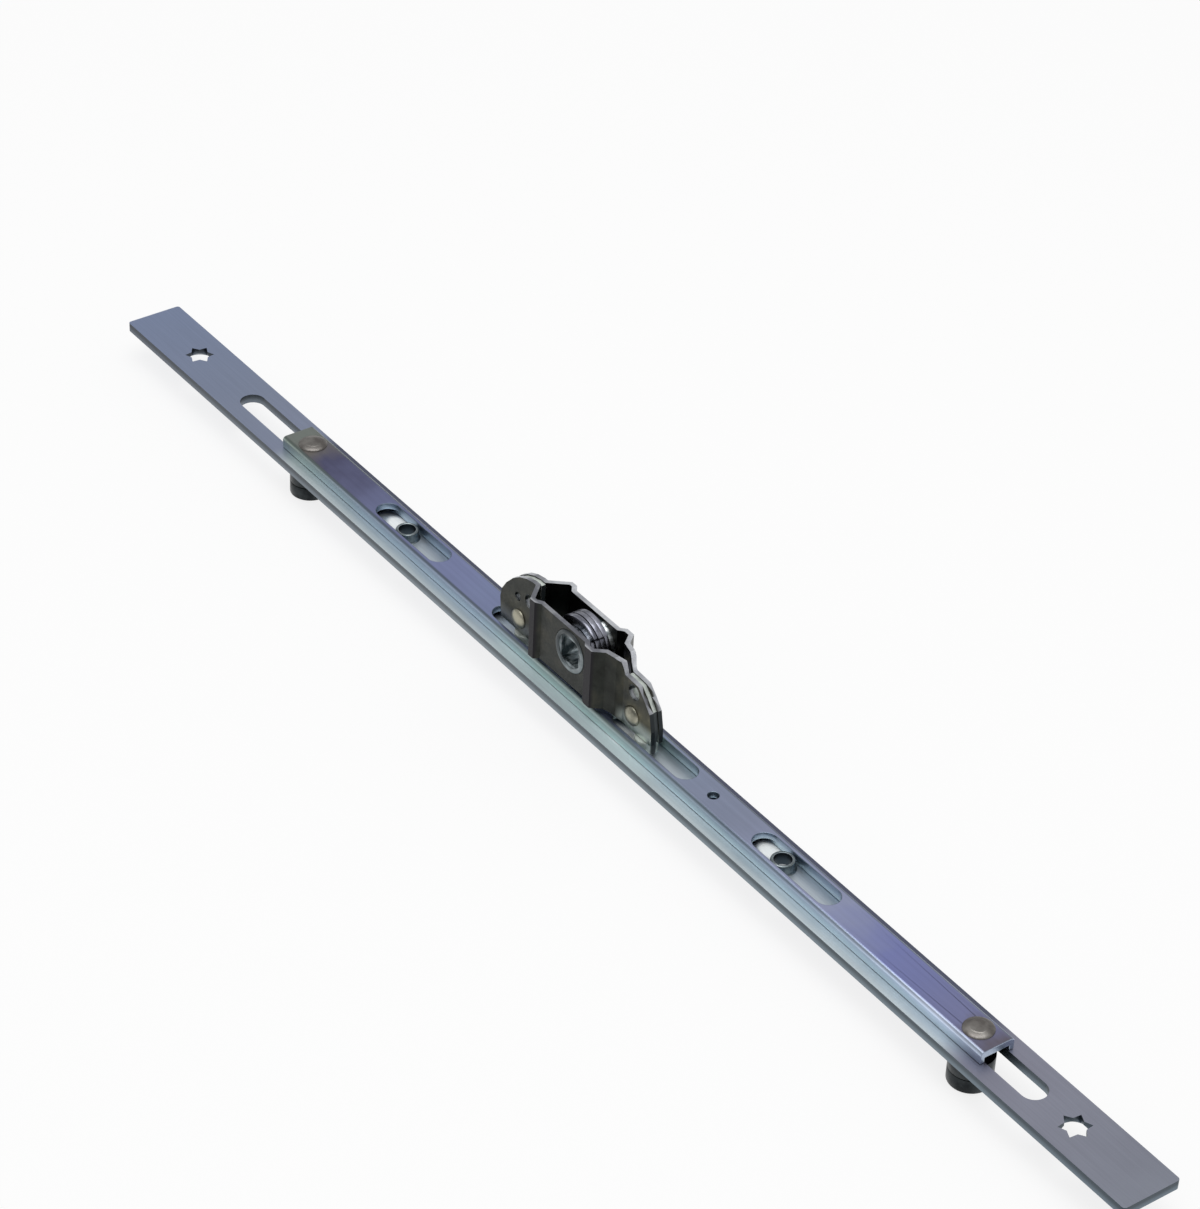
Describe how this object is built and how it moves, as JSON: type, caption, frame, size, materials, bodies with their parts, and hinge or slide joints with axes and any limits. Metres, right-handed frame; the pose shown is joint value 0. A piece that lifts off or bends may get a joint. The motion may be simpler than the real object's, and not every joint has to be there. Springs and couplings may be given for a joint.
{
  "type": "window espagnolette gearbox",
  "caption": "Window espagnolette gearbox: long zinc-plated faceplate, riveted gear case with a laminated pinion and square spindle hub, sliding drive rail and eccentric locking cams.",
  "frame": {"origin": "spindle axis projected onto the middle of the faceplate's front face, which is also the centre of the two middle screw holes", "axes": "+X along the faceplate, +Y across it along the spindle axis, +Z from the front face to the rear where the gear case stands"},
  "size_m": [0.409, 0.016, 0.0348],
  "materials": {
    "zinc_plate": "zinc plated, clear passivated, grey with a faint cool sheen",
    "zinc_rail": "zinc plated, blue-violet passivated, satin",
    "dark_case": "dark zinc plated pressed sheet, satin with bright cut edges",
    "bright_steel": "bright zinc plated turned steel",
    "pinion_steel": "zinc plated stamped plates, satin",
    "dark_stud": "dark plated riveted stud, satin",
    "dark_cam": "dark plated turned cam, satin"
  },
  "bodies": {
    "base": {"faceplate": "zinc_plate", "near_shell": "dark_case", "far_shell": "dark_case", "left_foot": "bright_steel", "right_foot": "bright_steel", "left_case_rivet": "bright_steel", "right_case_rivet": "bright_steel"},
    "pinion": {"near_hub": "bright_steel", "far_hub": "bright_steel", "near_tooth_plate": "pinion_steel", "far_tooth_plate": "pinion_steel", "near_side_plate": "pinion_steel", "far_side_plate": "pinion_steel", "plate_rivets": "bright_steel"},
    "rail": {"drive_rail": "zinc_rail", "left_stud": "dark_stud", "right_stud": "dark_stud"},
    "left_cam": {"left_cam": "dark_cam", "left_cam_ring": "dark_cam"},
    "right_cam": {"right_cam": "dark_cam", "right_cam_ring": "dark_cam"}
  },
  "joints": [
    {"name": "rail_slide", "type": "slide", "parent": "base", "child": "rail", "axis": [1, 0, 0], "range_m": [-0.0125, 0.0063]},
    {"name": "spindle_turn", "type": "hinge", "parent": "base", "child": "pinion", "pos_m": [0, 0, 0.0175], "axis": [0, 1, 0], "range_deg": [-30.2, 59.8]},
    {"name": "left_cam_turn", "type": "hinge", "parent": "rail", "child": "left_cam", "pos_m": [-0.1227, 0, 0], "axis": [0, 0, 1], "range_deg": [-90, 90]},
    {"name": "right_cam_turn", "type": "hinge", "parent": "rail", "child": "right_cam", "pos_m": [0.1475, 0, 0], "axis": [0, 0, 1], "range_deg": [-90, 90]}
  ],
  "couplings": [
    {"joint": "spindle_turn", "follows": "rail_slide", "rad_per_m": -83.333}
  ]
}
